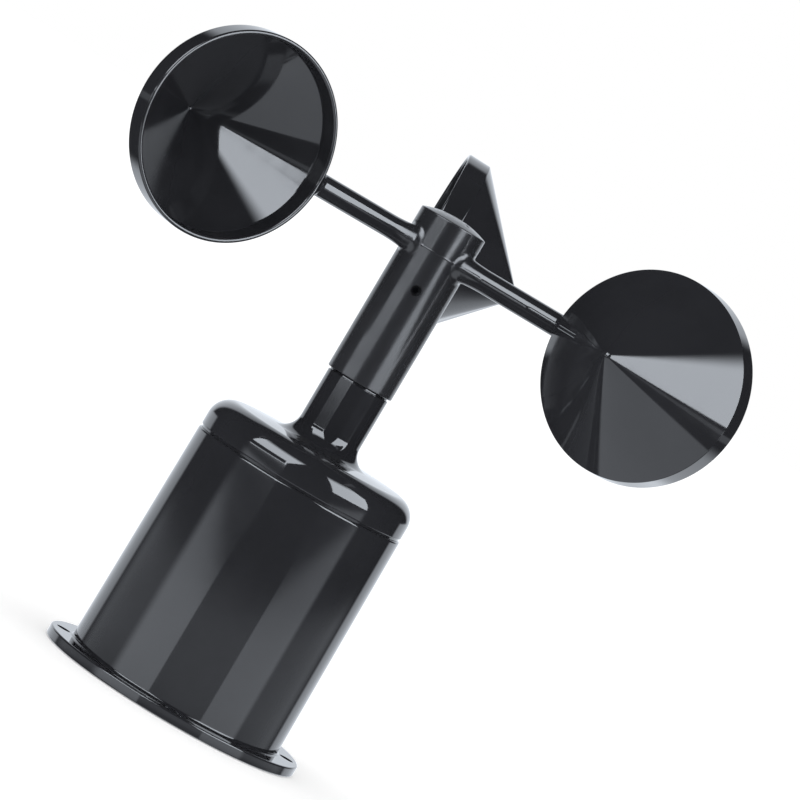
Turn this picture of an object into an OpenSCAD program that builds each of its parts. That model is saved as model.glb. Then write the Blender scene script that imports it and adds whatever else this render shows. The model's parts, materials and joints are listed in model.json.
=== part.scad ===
// Three-cup wind sensor: housing on a foot flange, cap with neck, and a rotor on two ball bearings.
// Origin: centre of the flange's underside. +Z points up the rotor axis. Millimetres.

/* [Flange and housing] */
// Diameter of the foot flange
flange_d = 80; // [78:0.5:84]
// Thickness of the foot flange
flange_t = 3; // [2.5:0.1:4]
// Diameter of the circle through the mounting holes
flange_pcd = 72.5; // [72:0.1:74]
// Diameter of each mounting hole
flange_hole_d = 4; // [3:0.1:4.5]
// Diameter of the housing at its foot
housing_foot_d = 66.4; // [65.6:0.1:67]
// Diameter of the housing at its top edge
housing_top_d = 65; // [64.6:0.1:65.4]
// Inner diameter of the housing
housing_bore_d = 60; // [59:0.1:60.4]
// Height of the seam between housing and cap
seam_z = 72; // [71:0.1:72.4]

/* [Cap and neck] */
// Diameter of the cap
cap_d = 64.6; // [64:0.1:65]
// Height of the cap's flat top at its shoulder
cap_top_z = 82.8; // [82.4:0.1:83.4]
// Radius of the cap's shoulder
cap_shoulder_r = 6.5; // [5:0.1:7]
// Diameter of the neck
neck_d = 19.1; // [18:0.1:19.6]
// Radius of the fillet between cap and neck
neck_fillet_r = 5.5; // [4:0.1:6]
// Height of the neck's shoulder, where the rotor tube begins
neck_top_z = 104; // [100:0.1:104.2]

/* [Rotor] */
// Diameter of the rotor tube
hub_d = 20.4; // [20:0.1:21]
// Height of the rotor tube's lower rim
hub_bottom_z = 104.6; // [104.5:0.1:106]
// Height of the rotor tube's upper edge
hub_top_z = 156.6; // [155:0.1:160]
// Rise of the domed top above that edge
hub_dome_h = 1.7; // [1:0.1:2.5]
// Height of the arm axes
arm_z = 146.8; // [146.5:0.1:148]
// Diameter of an arm
arm_d = 6.7; // [6:0.1:7]

/* [Cups] */
// Distance from the rotor axis to a cup's axis
cup_ring_r = 75; // [72:0.5:80]
// Diameter of a cup at its rim
cup_d = 59.6; // [56:0.1:62]
// Length of the straight band behind the rim
cup_band = 7; // [6:0.1:9]
// Distance from the arm's axis to the rim plane
cup_rim_offset = 3; // [2.5:0.1:3.5]
// Length from the band to the cone's sharp apex, before it is blunted
cup_cone_len = 27; // [24:0.1:30]
// Wall thickness of a cup
cup_wall = 1.35; // [1.2:0.05:2]

/* [Shaft and bearings] */
// Diameter of the spindle and of the bearing bores
spindle_d = 5; // [5:1:5]
// Outer diameter of the bearings
bearing_od = 11; // [11:1:11]
// Width of the bearings
bearing_w = 5; // [5:1:5]
// Lower face of the upper bearing
upper_bearing_z = 123; // [120:0.5:123]
// Lower face of the lower bearing
lower_bearing_z = 77; // [77:0.5:78]
// Number of balls in each bearing
ball_count = 9; // [7:1:9]

/* [Pulse counter] */
// Number of slots in the chopper wheel
chopper_slots = 20; // [10:1:24]
// Mean radius of the chopper's slotted skirt
chopper_r = 14.5; // [14:0.1:15]
// Height of the top of the circuit board
board_top_z = 57.6; // [57:0.1:57.6]

/* [Cable socket] */
// Height of the socket's axis
socket_z = 18; // [17:0.5:22]
// Outside diameter of the socket's thread
socket_thread_d = 12; // [11:0.5:12]
// Direction the socket faces, seen from above and counted from +X
socket_angle = 60; // [55:1:65]

/* [Hidden] */

fine = 96;
eps = 0.5;

plastic_black = [0.10, 0.105, 0.115];
matte_black = [0.16, 0.16, 0.17];
steel = [0.70, 0.71, 0.73];
zinc = [0.60, 0.61, 0.63];
brass = [0.78, 0.62, 0.30];
rubber_black = [0.07, 0.07, 0.07];
board_green = [0.05, 0.32, 0.18];
nylon_white = [0.90, 0.89, 0.84];

// Flange and housing
flange_r = flange_d / 2;
flange_edge = 0.5;
hole_quarters = 4;
foot_r = housing_foot_d / 2;
top_r = housing_top_d / 2;
bore_r = housing_bore_d / 2;
foot_fillet = 0.6;
top_edge = 0.6;

// Base cover, held by countersunk screws under a ledge in the housing
recess_r = 29;
ledge_z = 4.2;
ledge_t = 2;
ledge_bore_r = 23;
cover_r = 28.8;
cover_bottom_z = 0.4;
cover_t = 2.8;
gasket_r = 28.6;
gasket_t = ledge_z - cover_bottom_z - cover_t;
cover_screw_ring_r = 25.6;
cover_boss_r = 3.4;
cover_boss_h = 11;
cover_screw_turn = 15;
quarter_turns = [for (i = [0 : hole_quarters - 1]) i * 360 / hole_quarters];
cover_screw_turns = [for (t = quarter_turns) t + cover_screw_turn];

// Screws shared by the cover, the board and the chopper
m3_r = 1.5;
m3_clear_r = 1.7;
head_r = 2.8;
head_cone_h = 1.5;
head_pan_h = 1.8;
cover_screw_len = 12;
drive_w = 0.7;
drive_l = 3.2;
drive_h = 0.8;

// Cap
cap_r = cap_d / 2;
cap_lip_r = 31.2;
seam_gap = 0.6;
cap_skirt_r = 27.2;
cap_skirt_z = 64;
cap_ceiling_z = 80.3;
ceiling_corner = 1;
cap_slope_h = 0.5;
neck_r = neck_d / 2;
inner_tube_r = 7.2;
inner_tube_top_z = upper_bearing_z + bearing_w + 0.2;
tube_bore_r = 4.75;
lower_boss_r = 8.2;
lower_boss_z = lower_bearing_z - 0.4;
hanger_ring_r = 21;
hanger_r = 3.6;
hanger_z = 74;
hanger_hole_h = 5;
hanger_angles = [30, 150, 270];
seal_section_r = 0.9;
seal_z = 68.8;
seal_groove_h = 2;
seal_groove_r = 28.2;

// Rotor
hub_r = hub_d / 2;
hub_edge = 0.6;
hub_bore_r = 8.4;
hub_bore_top_z = 129.5;
arm_r = arm_d / 2;
arm_start = 6;
arm_angles = [90, 210, 330];
arm_flare = 0.55;
arm_flare_len = 4;
insert_r = 5;
insert_top_z = 143;
insert_nose_r = 3.3;
set_screw_z = 135;
set_screw_hole_r = 1.6;
set_screw_outer = 7.5;
hex_socket_r = 0.87;
hex_socket_l = 1.5;
flat_depth = 0.4;

// Cups
cup_r = cup_d / 2;
cup_draft = 0.2;
cup_tip_r = 2;
cup_inner_tip_r = 0.8;
cup_band_end = cup_band - cup_rim_offset;
cup_crease_r = cup_r - cup_draft;
cup_half_angle = atan(cup_crease_r / cup_cone_len);
cup_apex = cup_band_end + cup_cone_len;

// Spindle
spindle_r = spindle_d / 2;
spindle_bottom_z = 62;
spindle_top_z = 141.5;
spindle_chamfer = 0.4;
flat_bottom_z = 130;
clip_z = 76;
clip_t = 0.6;
clip_r = 3.9;
clip_groove_r = 2;
clip_mouth = 3.2;
washer_r = 3.3;

// Bearings
bearing_r = bearing_od / 2;
race_mid_r = 4;
ball_r = 0.79;
ball_gap = 0.04;
outer_race_r = 4.65;
inner_race_r = 3.35;
shield_t = 0.25;
shield_inset = 0.1;
shield_bore_r = 3.5;
cage_in_r = 3.6;
cage_out_r = 4.4;
cage_half_h = 1;

// Chopper wheel
chopper_hub_r = 5;
chopper_bottom_z = 63;
chopper_top_z = 73.5;
chopper_web_z = 68.5;
chopper_web_t = 1.5;
chopper_skirt_t = 1;
chopper_skirt_z = 61.5;
chopper_slot_top_z = 66.5;
chopper_slot_duty = 0.45;
chopper_screw_z = 71.7;
chopper_screw_outer = 5.2;

// Circuit board and its parts
board_t = 1.6;
board_r = 26.8;
board_z = board_top_z - board_t;
board_hole_r = 1.6;
standoff_hex_r = 3.175;
stud_len = 4.5;
standoff_hole_h = 9;
board_screw_len = 7;
fork_w = 6;
fork_base_h = 2.4;
fork_inner = [8.5, 12.3];
fork_outer = [16.7, 20.5];
fork_top_z = 67.3;
chip_stand = 0.15;
lead_w = 0.45;
lead_t = 0.2;
lead_reach = 1.1;
cap_can_r = 3.2;
cap_can_h = 8;
cap_can_pos = [-19, -9];
header_y = 17;
header_size = [12.5, 5.8, 5.5];
plug_size = [11.9, 4.6, 6];
wire_pitch = 2.5;

// Cable socket, low on the back of the housing and between two mounting holes
pad_r = 9.6;
pad_in_y = 28;
pad_out_y = 34.5;
socket_r = socket_thread_d / 2;
socket_flange_r = 8.4;
socket_flange_t = 2;
socket_seal_t = 1;
socket_front_y = 45;
socket_back_y = 25;
socket_bore_r = 4.7;
socket_hole_r = socket_r + 0.1;
insert_face_y = 40;
pin_r = 0.5;
pin_ring_r = 2.5;
pin_front_y = 43.5;
pin_back_y = 23.5;
pin_angles = [45, 135, 225, 315];
nut_hex_r = 8.6;
nut_t = 2.6;

// Wires from the plug to the socket's pins
wire_r = 0.55;
wire_sides = 8;
wire_rings = 26;

// Points on an arc from one angle to another, both ends included
function arc(cx, cy, r, from, to, steps) =
    [for (i = [0 : steps]) let (a = from + (to - from) * i / steps) [cx + r * cos(a), cy + r * sin(a)]];

// A point on the cubic curve through four control points
function bezier(p, t) =
    pow(1 - t, 3) * p[0] + 3 * t * pow(1 - t, 2) * p[1] + 3 * t * t * (1 - t) * p[2] + pow(t, 3) * p[3];

function unit(v) = v / norm(v);

// Place of a pin beside the socket's axis
function pin_place(angle) = pin_ring_r * [cos(angle), sin(angle)];

// Ring of points around a wire's centre line
function wire_ring(p, t) =
    let (
        step = 0.01,
        along = unit(bezier(p, min(t + step, 1)) - bezier(p, max(t - step, 0))),
        side = [1, 0, 0],
        across = unit(cross(along, side)),
        lift = cross(across, along)
    )
    [for (k = [0 : wire_sides - 1])
        bezier(p, t) + wire_r * (cos(360 * k / wire_sides) * across + sin(360 * k / wire_sides) * lift)];

module wire(p) {
    points = [for (i = [0 : wire_rings]) each wire_ring(p, i / wire_rings)];
    last = wire_rings * wire_sides;
    sides = [for (i = [0 : wire_rings - 1]) for (k = [0 : wire_sides - 1])
        let (n = (k + 1) % wire_sides, a = i * wire_sides)
        [a + k, a + n, a + wire_sides + n, a + wire_sides + k]];
    start_cap = [for (k = [wire_sides - 1 : -1 : 0]) k];
    end_cap = [for (k = [0 : wire_sides - 1]) last + k];
    polyhedron(points, concat([start_cap], sides, [end_cap]));
}

// A disc or ring between two heights
module ring(r_out, r_in, z_low, z_high) {
    rotate_extrude($fn = fine)
    translate([r_in, z_low])
    square([r_out - r_in, z_high - z_low]);
}

// Copies its children round the axis at the listed angles
module around(angles) {
    for (a = angles)
        rotate([0, 0, a])
        children();
}

// Turns its children from +Y to the direction the socket faces
module to_socket() {
    rotate([0, 0, socket_angle - 90])
    children();
}

// A hole or rod along the socket's axis, or beside it by an offset in X and Z
module socket_rod(r, y_low, y_high, sides = fine, offset = [0, 0]) {
    to_socket()
    translate([offset[0], y_low, socket_z + offset[1]])
    rotate([-90, 0, 0])
    cylinder(r = r, h = y_high - y_low, $fn = sides);
}

module housing_profile() {
    polygon([
        [ledge_bore_r, ledge_z],
        [recess_r, ledge_z],
        [recess_r, 0],
        [flange_r - flange_edge, 0],
        [flange_r, flange_edge],
        [flange_r, flange_t - flange_edge],
        [flange_r - flange_edge, flange_t],
        [foot_r + foot_fillet, flange_t],
        [foot_r, flange_t + foot_fillet],
        [top_r, seam_z - top_edge],
        [top_r - top_edge, seam_z],
        [bore_r, seam_z],
        [bore_r, ledge_z + ledge_t],
        [ledge_bore_r, ledge_z + ledge_t]
    ]);
}

module housing() {
    color(plastic_black)
    difference() {
        union() {
            rotate_extrude($fn = fine) housing_profile();
            around(cover_screw_turns)
                translate([cover_screw_ring_r, 0, ledge_z])
                cylinder(r = cover_boss_r, h = cover_boss_h, $fn = fine);
            socket_rod(pad_r, pad_in_y, pad_out_y);
        }
        around(quarter_turns)
            translate([flange_pcd / 2, 0, -eps])
            cylinder(d = flange_hole_d, h = flange_t + 2 * eps, $fn = fine);
        around(cover_screw_turns)
            translate([cover_screw_ring_r, 0, ledge_z - eps])
            cylinder(r = m3_r, h = cover_boss_h - 1 + eps, $fn = fine);
        socket_rod(socket_hole_r, pad_in_y - eps, pad_out_y + eps);
    }
}

module cap_profile() {
    shoulder_x = cap_r - cap_shoulder_r;
    fillet_x = neck_r + neck_fillet_r;
    fillet_z = cap_top_z + cap_slope_h + neck_fillet_r;
    arc_steps = 10;
    polygon(concat(
        [[cap_lip_r, seam_z], [cap_lip_r, seam_z + seam_gap], [cap_r, seam_z + seam_gap]],
        arc(shoulder_x, cap_top_z - cap_shoulder_r, cap_shoulder_r, 0, 90, arc_steps),
        arc(fillet_x, fillet_z, neck_fillet_r, 270, 180, arc_steps),
        [
            [neck_r, neck_top_z],
            [inner_tube_r, neck_top_z],
            [inner_tube_r, inner_tube_top_z],
            [bearing_r, inner_tube_top_z],
            [bearing_r, upper_bearing_z],
            [tube_bore_r, upper_bearing_z],
            [tube_bore_r, lower_bearing_z + bearing_w],
            [bearing_r, lower_bearing_z + bearing_w],
            [bearing_r, lower_boss_z],
            [lower_boss_r, lower_boss_z],
            [lower_boss_r, cap_ceiling_z],
            [cap_skirt_r - ceiling_corner, cap_ceiling_z],
            [cap_skirt_r, cap_ceiling_z - ceiling_corner],
            [cap_skirt_r, cap_skirt_z],
            [bore_r, cap_skirt_z],
            [bore_r, seal_z - seal_groove_h / 2],
            [seal_groove_r, seal_z - seal_groove_h / 2],
            [seal_groove_r, seal_z + seal_groove_h / 2],
            [bore_r, seal_z + seal_groove_h / 2],
            [bore_r, seam_z]
        ]
    ));
}

module cap() {
    color(plastic_black)
    difference() {
        union() {
            rotate_extrude($fn = fine) cap_profile();
            around(hanger_angles)
                translate([hanger_ring_r, 0, hanger_z])
                cylinder(r = hanger_r, h = cap_ceiling_z - hanger_z + eps, $fn = fine);
        }
        around(hanger_angles)
            translate([hanger_ring_r, 0, hanger_z - eps])
            cylinder(r = m3_r, h = hanger_hole_h + eps, $fn = fine);
    }
}

module cap_seal() {
    color(rubber_black)
    rotate_extrude($fn = fine)
    translate([bore_r - seal_section_r, seal_z])
    circle(r = seal_section_r, $fn = fine);
}

// Countersunk hole or head, widest at its lower end
module countersink(extra) {
    cylinder(r1 = head_r + extra, r2 = m3_r + extra, h = head_cone_h, $fn = fine);
}

module base_cover() {
    color(plastic_black)
    difference() {
        ring(cover_r, 0, cover_bottom_z, cover_bottom_z + cover_t);
        around(cover_screw_turns)
            translate([cover_screw_ring_r, 0, cover_bottom_z]) {
                translate([0, 0, -eps])
                    cylinder(r = m3_r, h = cover_t + 2 * eps, $fn = fine);
                countersink(0);
            }
    }
}

module cover_gasket() {
    color(rubber_black)
    difference() {
        ring(gasket_r, ledge_bore_r, ledge_z - gasket_t, ledge_z);
        around(cover_screw_turns)
            translate([cover_screw_ring_r, 0, ledge_z - gasket_t - eps])
            cylinder(r = m3_r, h = gasket_t + 2 * eps, $fn = fine);
    }
}

// Cross recess, cut upwards from a screw head's lower face
module cross_recess() {
    for (a = [0, 90])
        rotate([0, 0, a])
        translate([-drive_l / 2, -drive_w / 2, -eps])
        cube([drive_l, drive_w, drive_h + eps]);
}

module cover_screws() {
    color(zinc)
    around(cover_screw_turns)
        translate([cover_screw_ring_r, 0, cover_bottom_z])
        difference() {
            union() {
                countersink(0);
                cylinder(r = m3_r, h = cover_screw_len, $fn = fine);
            }
            cross_recess();
        }
}

module hub_profile() {
    edge_r = hub_r - hub_edge;
    dome_r = (edge_r * edge_r + hub_dome_h * hub_dome_h) / (2 * hub_dome_h);
    dome_z = hub_top_z + hub_dome_h - dome_r;
    dome_angle = asin(edge_r / dome_r);
    arc_steps = 8;
    polygon(concat(
        [
            [0, insert_top_z],
            [insert_r, insert_top_z],
            [insert_r, hub_bore_top_z],
            [hub_bore_r, hub_bore_top_z],
            [hub_bore_r, hub_bottom_z],
            [hub_r - hub_edge / 2, hub_bottom_z],
            [hub_r, hub_bottom_z + hub_edge / 2],
            [hub_r, hub_top_z - hub_edge]
        ],
        arc(0, dome_z, dome_r, 90 - dome_angle, 90, arc_steps)
    ));
}

module rotor_hub() {
    color(plastic_black)
    difference() {
        union() {
            rotate_extrude($fn = fine) hub_profile();
            around(arm_angles)
                translate([0, 0, arm_z])
                rotate([0, 90, 0]) {
                    translate([0, 0, arm_start])
                        cylinder(r = arm_r, h = cup_ring_r - cup_r + 1 - arm_start, $fn = fine);
                    translate([0, 0, hub_r - 1])
                        cylinder(r1 = arm_r + arm_flare, r2 = arm_r, h = arm_flare_len, $fn = fine);
                }
        }
        // Each arm ends on the outside of its cup's band
        around(arm_angles)
            translate([cup_ring_r, 0, arm_z])
            rotate([90, 0, 0])
            cylinder(r = cup_r, h = 4 * arm_r, center = true, $fn = fine);
        translate([0, 0, set_screw_z])
            rotate([90, 0, 0])
            cylinder(r = set_screw_hole_r, h = hub_r + eps, $fn = fine);
    }
}

// Half outline of a cone with a blunt tip, from its rim to its tip
module cone_outline(r_rim, z_rim, r_crease, z_crease, apex, tip_r) {
    tip_z = apex - tip_r / sin(cup_half_angle);
    intersection() {
        union() {
            polygon([
                [0, z_rim],
                [r_rim, z_rim],
                [r_crease, z_crease],
                [tip_r * cos(cup_half_angle), tip_z + tip_r * sin(cup_half_angle)],
                [0, tip_z]
            ]);
            translate([0, tip_z]) circle(r = tip_r, $fn = fine);
        }
        translate([0, z_rim]) square([2 * r_rim, 2 * apex]);
    }
}

module cup(angle) {
    inner_r = cup_r - cup_wall;
    inner_crease_r = inner_r - cup_draft;
    inner_apex = cup_apex - cup_wall / sin(cup_half_angle);
    inner_crease = inner_apex - inner_crease_r / tan(cup_half_angle);
    color(plastic_black)
    rotate([0, 0, angle])
    translate([cup_ring_r, 0, arm_z])
    rotate([90, 0, 0])
    rotate_extrude($fn = fine)
    difference() {
        cone_outline(cup_r, -cup_rim_offset, cup_crease_r, cup_band_end, cup_apex, cup_tip_r);
        cone_outline(inner_r, -cup_rim_offset, inner_crease_r, inner_crease, inner_apex, cup_inner_tip_r);
    }
}

module hub_insert() {
    nose_z = upper_bearing_z + bearing_w;
    color(brass)
    difference() {
        union() {
            ring(insert_r, spindle_r, hub_bore_top_z, insert_top_z);
            ring(insert_nose_r, spindle_r, nose_z, hub_bore_top_z);
        }
        translate([0, 0, set_screw_z])
            rotate([90, 0, 0])
            cylinder(r = m3_r, h = insert_r + eps, $fn = fine);
    }
}

// Socket-head grub screw pointing at the axis from -Y
module grub_screw(z, y_outer, y_inner) {
    translate([0, -y_inner, z])
    rotate([90, 0, 0])
    difference() {
        cylinder(r = m3_r, h = y_outer - y_inner, $fn = fine);
        translate([0, 0, y_outer - y_inner - hex_socket_l])
            cylinder(r = hex_socket_r, h = hex_socket_l + eps, $fn = 6);
    }
}

module hub_set_screw() {
    color(zinc) grub_screw(set_screw_z, set_screw_outer, spindle_r - flat_depth);
}

module spindle() {
    color(steel)
    difference() {
        rotate_extrude($fn = fine)
        polygon([
            [0, spindle_bottom_z],
            [spindle_r - spindle_chamfer, spindle_bottom_z],
            [spindle_r, spindle_bottom_z + spindle_chamfer],
            [spindle_r, clip_z],
            [clip_groove_r, clip_z],
            [clip_groove_r, clip_z + clip_t],
            [spindle_r, clip_z + clip_t],
            [spindle_r, spindle_top_z - spindle_chamfer],
            [spindle_r - spindle_chamfer, spindle_top_z],
            [0, spindle_top_z]
        ]);
        translate([-spindle_r, -spindle_r - eps, flat_bottom_z])
            cube([spindle_d, flat_depth + eps, spindle_top_z - flat_bottom_z + eps]);
    }
}

module bearing_spacer() {
    color(nylon_white)
    ring(insert_nose_r, spindle_r, lower_bearing_z + bearing_w, upper_bearing_z);
}

module shim_washer() {
    color(steel)
    ring(washer_r, spindle_r, clip_z + clip_t, lower_bearing_z);
}

module retaining_clip() {
    color(steel)
    difference() {
        ring(clip_r, clip_groove_r, clip_z, clip_z + clip_t);
        translate([0, -clip_mouth / 2, clip_z - eps])
            cube([2 * clip_r, clip_mouth, clip_t + 2 * eps]);
    }
}

// Groove that the balls run in, cut from both rings
module ball_track(z) {
    translate([0, 0, z + bearing_w / 2])
    rotate_extrude($fn = fine)
    translate([race_mid_r, 0])
    circle(r = ball_r + ball_gap, $fn = fine);
}

module outer_ring(z) {
    color(steel)
    difference() {
        ring(bearing_r, outer_race_r, z, z + bearing_w);
        ball_track(z);
    }
}

module inner_ring(z) {
    color(steel)
    difference() {
        ring(inner_race_r, spindle_r, z, z + bearing_w);
        ball_track(z);
    }
}

module ball_set(z) {
    color(steel)
    for (i = [0 : ball_count - 1])
        rotate([0, 0, i * 360 / ball_count])
        translate([race_mid_r, 0, z + bearing_w / 2])
        sphere(r = ball_r, $fn = fine);
}

module cage(z) {
    color(brass)
    difference() {
        ring(cage_out_r, cage_in_r, z + bearing_w / 2 - cage_half_h, z + bearing_w / 2 + cage_half_h);
        for (i = [0 : ball_count - 1])
            rotate([0, 0, i * 360 / ball_count])
            translate([cage_in_r - eps, 0, z + bearing_w / 2])
            rotate([0, 90, 0])
            cylinder(r = ball_r + ball_gap, h = cage_out_r - cage_in_r + 2 * eps, $fn = fine);
    }
}

module shields(z) {
    color(steel) {
        ring(outer_race_r, shield_bore_r, z + shield_inset, z + shield_inset + shield_t);
        ring(outer_race_r, shield_bore_r, z + bearing_w - shield_inset - shield_t, z + bearing_w - shield_inset);
    }
}

module chopper_wheel() {
    skirt_out_r = chopper_r + chopper_skirt_t / 2;
    skirt_in_r = chopper_r - chopper_skirt_t / 2;
    slot_w = chopper_slot_duty * 2 * PI * chopper_r / chopper_slots;
    color(matte_black)
    difference() {
        union() {
            ring(chopper_hub_r, spindle_r, chopper_bottom_z, chopper_top_z);
            ring(skirt_out_r, chopper_hub_r - eps, chopper_web_z, chopper_web_z + chopper_web_t);
            ring(skirt_out_r, skirt_in_r, chopper_skirt_z, chopper_web_z + chopper_web_t);
        }
        for (i = [0 : chopper_slots - 1])
            rotate([0, 0, (i + 0.5) * 360 / chopper_slots])
            translate([skirt_in_r - eps, -slot_w / 2, chopper_skirt_z - eps])
            cube([chopper_skirt_t + 2 * eps, slot_w, chopper_slot_top_z - chopper_skirt_z + eps]);
        translate([0, 0, chopper_screw_z])
            rotate([90, 0, 0])
            cylinder(r = m3_r, h = chopper_hub_r + eps, $fn = fine);
    }
}

module chopper_screw() {
    color(zinc) grub_screw(chopper_screw_z, chopper_screw_outer, spindle_r);
}

module light_barrier() {
    fork_l = fork_outer[1] - fork_inner[0];
    color(matte_black)
    translate([0, -fork_w / 2, board_top_z]) {
        translate([fork_inner[0], 0, 0]) cube([fork_l, fork_w, fork_base_h]);
        for (side = [fork_inner, fork_outer])
            translate([side[0], 0, 0])
            cube([side[1] - side[0], fork_w, fork_top_z - board_top_z]);
    }
}

module main_board() {
    color(board_green)
    difference() {
        ring(board_r, 0, board_z, board_top_z);
        around(hanger_angles)
            translate([hanger_ring_r, 0, board_z - eps])
            cylinder(r = board_hole_r, h = board_t + 2 * eps, $fn = fine);
    }
}

// Chip with rows of leads along two sides, standing on the board
module chip(pos, size, leads, pitch) {
    translate([pos[0], pos[1], board_top_z]) {
        translate([-size[0] / 2, -size[1] / 2, chip_stand]) cube(size);
        for (side = [-1, 1])
            for (i = [0 : leads - 1])
                translate([(i - (leads - 1) / 2) * pitch - lead_w / 2, side * size[1] / 2, 0]) {
                    translate([0, side > 0 ? 0 : -lead_reach, 0])
                        cube([lead_w, lead_reach, lead_t]);
                    translate([0, side > 0 ? 0 : -lead_t, 0])
                        cube([lead_w, lead_t, size[2] / 2]);
                }
    }
}

module controller_chip() {
    color(matte_black) chip([-6, 2], [7, 5.2, 1.5], 8, 0.8);
}

module output_chip() {
    color(matte_black) chip([7, -12], [5, 4, 1.5], 4, 1.27);
}

module filter_capacitor() {
    color(zinc)
    translate([cap_can_pos[0], cap_can_pos[1], board_top_z])
    cylinder(r = cap_can_r, h = cap_can_h, $fn = fine);
}

module standoffs() {
    color(brass)
    around(hanger_angles)
        translate([hanger_ring_r, 0, board_top_z])
        difference() {
            union() {
                cylinder(r = standoff_hex_r, h = hanger_z - board_top_z, $fn = 6);
                cylinder(r = m3_r, h = hanger_z - board_top_z + stud_len, $fn = fine);
            }
            translate([0, 0, -eps])
                cylinder(r = m3_r, h = standoff_hole_h + eps, $fn = fine);
        }
}

module board_screws() {
    color(zinc)
    around(hanger_angles)
        translate([hanger_ring_r, 0, board_z - head_pan_h])
        difference() {
            union() {
                cylinder(r = head_r, h = head_pan_h, $fn = fine);
                cylinder(r = m3_r, h = head_pan_h + board_t + board_screw_len, $fn = fine);
            }
            cross_recess();
        }
}

module wire_header() {
    color(nylon_white)
    to_socket()
    translate([-header_size[0] / 2, header_y - header_size[1] / 2, board_z - header_size[2]])
    cube(header_size);
}

module wire_plug() {
    color(nylon_white)
    to_socket()
    translate([-plug_size[0] / 2, header_y - plug_size[1] / 2, board_z - header_size[2] - plug_size[2]])
    cube(plug_size);
}

// Wire from contact i of the plug to pin k of the socket, with its two bends' reach
module harness_wire(i, k, drop, reach) {
    plug_bottom_z = board_z - header_size[2] - plug_size[2];
    start = [(i - 1.5) * wire_pitch, header_y, plug_bottom_z];
    pin = pin_place(pin_angles[k]);
    end = [pin[0], pin_back_y, socket_z + pin[1]];
    to_socket()
    wire([start, start - [0, 0, drop], end - [0, reach, 0], end]);
}

module supply_wire() {
    color("saddlebrown") harness_wire(0, 2, 22, 16);
}

module signal_a_wire() {
    color("seagreen") harness_wire(1, 1, 14, 9);
}

module signal_b_wire() {
    color("steelblue") harness_wire(2, 0, 14, 9);
}

module ground_wire() {
    color("black") harness_wire(3, 3, 22, 16);
}

module socket_shell() {
    flange_y = pad_out_y + socket_seal_t;
    color(zinc)
    difference() {
        union() {
            socket_rod(socket_r, socket_back_y, socket_front_y);
            socket_rod(socket_flange_r, flange_y, flange_y + socket_flange_t);
        }
        socket_rod(socket_bore_r, socket_back_y - eps, socket_front_y + eps);
    }
}

module socket_insert() {
    color(matte_black)
    difference() {
        socket_rod(socket_bore_r, socket_back_y, insert_face_y);
        for (a = pin_angles)
            socket_rod(pin_r, socket_back_y - eps, insert_face_y + eps, fine, pin_place(a));
    }
}

module socket_pins() {
    color(brass)
    for (a = pin_angles)
        socket_rod(pin_r, pin_back_y, pin_front_y, fine, pin_place(a));
}

module socket_nut() {
    color(zinc)
    difference() {
        socket_rod(nut_hex_r, pad_in_y - nut_t, pad_in_y, 6);
        socket_rod(socket_r, pad_in_y - nut_t - eps, pad_in_y + eps);
    }
}

module socket_seal() {
    color(rubber_black)
    difference() {
        socket_rod(socket_flange_r, pad_out_y, pad_out_y + socket_seal_t);
        socket_rod(socket_r, pad_out_y - eps, pad_out_y + socket_seal_t + eps);
    }
}

housing();
cap();
cap_seal();
base_cover();
cover_gasket();
cover_screws();
rotor_hub();
cup(arm_angles[0]);  // cup_rear
cup(arm_angles[1]);  // cup_left
cup(arm_angles[2]);  // cup_right
hub_insert();
hub_set_screw();
spindle();
bearing_spacer();
shim_washer();
retaining_clip();
outer_ring(upper_bearing_z);  // upper_outer_ring
inner_ring(upper_bearing_z);  // upper_inner_ring
ball_set(upper_bearing_z);  // upper_balls
cage(upper_bearing_z);  // upper_cage
shields(upper_bearing_z);  // upper_shields
outer_ring(lower_bearing_z);  // lower_outer_ring
inner_ring(lower_bearing_z);  // lower_inner_ring
ball_set(lower_bearing_z);  // lower_balls
cage(lower_bearing_z);  // lower_cage
shields(lower_bearing_z);  // lower_shields
chopper_wheel();
chopper_screw();
light_barrier();
main_board();
controller_chip();
output_chip();
filter_capacitor();
standoffs();
board_screws();
wire_header();
wire_plug();
supply_wire();
signal_a_wire();
signal_b_wire();
ground_wire();
socket_shell();
socket_insert();
socket_pins();
socket_nut();
socket_seal();
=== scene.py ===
import json
import math

import bmesh
import bpy
from mathutils import Matrix, Vector


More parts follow.
